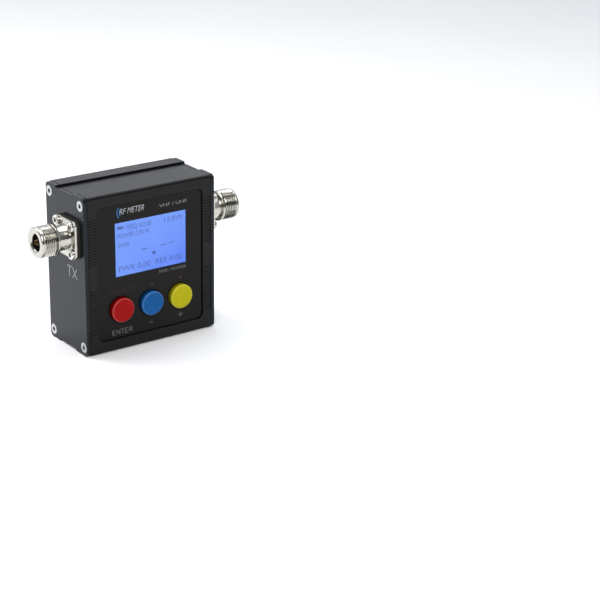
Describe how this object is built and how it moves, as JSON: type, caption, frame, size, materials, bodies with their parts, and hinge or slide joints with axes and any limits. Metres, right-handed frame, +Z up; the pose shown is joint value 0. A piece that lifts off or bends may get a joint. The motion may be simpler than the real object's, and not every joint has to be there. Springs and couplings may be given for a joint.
{
  "type": "swr meter",
  "caption": "Pocket SWR and power meter: split metal case, backlit display, three push buttons and a threaded coaxial socket at each end.",
  "frame": {"origin": "bottom centre of the whole part, on the surface it stands on", "axes": "+Z up, +X from the transmitter socket to the antenna socket, the display faces -Y"},
  "size_m": [0.1154, 0.0392, 0.083],
  "materials": {
    "case": "satin anodised",
    "overlay": "gloss print on clear sheet",
    "window": "clear",
    "lcd": "backlit display",
    "nickel": "bright nickel plate",
    "screw": "zinc plated",
    "brass": "plain",
    "gold": "gold plated",
    "ptfe": "natural",
    "board": "solder mask",
    "black_plastic": "moulded",
    "white_plastic": "moulded",
    "button_red": "satin moulded",
    "button_blue": "satin moulded",
    "button_yellow": "satin moulded",
    "sheet_steel": "tinned",
    "foil": "satin pouch"
  },
  "bodies": {
    "case": {"front_shell": "case", "rear_shell": "case", "left_end_plate": "case", "right_end_plate": "case", "left_plate_screws": "screw", "right_plate_screws": "screw", "front_overlay": "overlay", "display_window": "window", "lcd_glass": "lcd", "lcd_backlight": "white_plastic", "lcd_frame": "black_plastic", "display_pins": "brass", "main_board": "board", "board_standoffs": "brass", "board_screws": "screw", "processor": "black_plastic", "board_chips": "black_plastic", "crystal": "sheet_steel", "enter_switch_body": "black_plastic", "minus_switch_body": "black_plastic", "plus_switch_body": "black_plastic", "power_switch_body": "sheet_steel", "usb_shell": "sheet_steel", "usb_tongue": "black_plastic", "battery_cell": "foil", "battery_pad": "black_plastic", "battery_socket": "white_plastic", "battery_leads": "black_plastic", "coupler_board": "board", "coupler_shield": "sheet_steel", "coupler_header": "black_plastic", "tx_socket_body": "nickel", "tx_insulator": "ptfe", "tx_contact": "gold", "tx_flange_screws": "nickel", "ant_socket_body": "nickel", "ant_insulator": "ptfe", "ant_contact": "gold", "ant_flange_screws": "nickel", "tx_spacer": "case", "ant_spacer": "case"},
    "enter_button": {"enter_button": "button_red", "enter_plunger": "white_plastic"},
    "minus_button": {"minus_button": "button_blue", "minus_plunger": "white_plastic"},
    "plus_button": {"plus_button": "button_yellow", "plus_plunger": "white_plastic"},
    "power_switch": {"power_switch_knob": "black_plastic"}
  },
  "joints": [
    {"name": "enter_press", "type": "slide", "parent": "case", "child": "enter_button", "axis": [0, 1, 0], "range_m": [0, 0.00035], "stiffness_N_per_m": 4000, "springref_m": -0.0001},
    {"name": "minus_press", "type": "slide", "parent": "case", "child": "minus_button", "axis": [0, 1, 0], "range_m": [0, 0.00035], "stiffness_N_per_m": 4000, "springref_m": -0.0001},
    {"name": "plus_press", "type": "slide", "parent": "case", "child": "plus_button", "axis": [0, 1, 0], "range_m": [0, 0.00035], "stiffness_N_per_m": 4000, "springref_m": -0.0001},
    {"name": "power_switch_slide", "type": "slide", "parent": "case", "child": "power_switch", "axis": [0, 0, 1], "range_m": [-0.002, 0]}
  ]
}
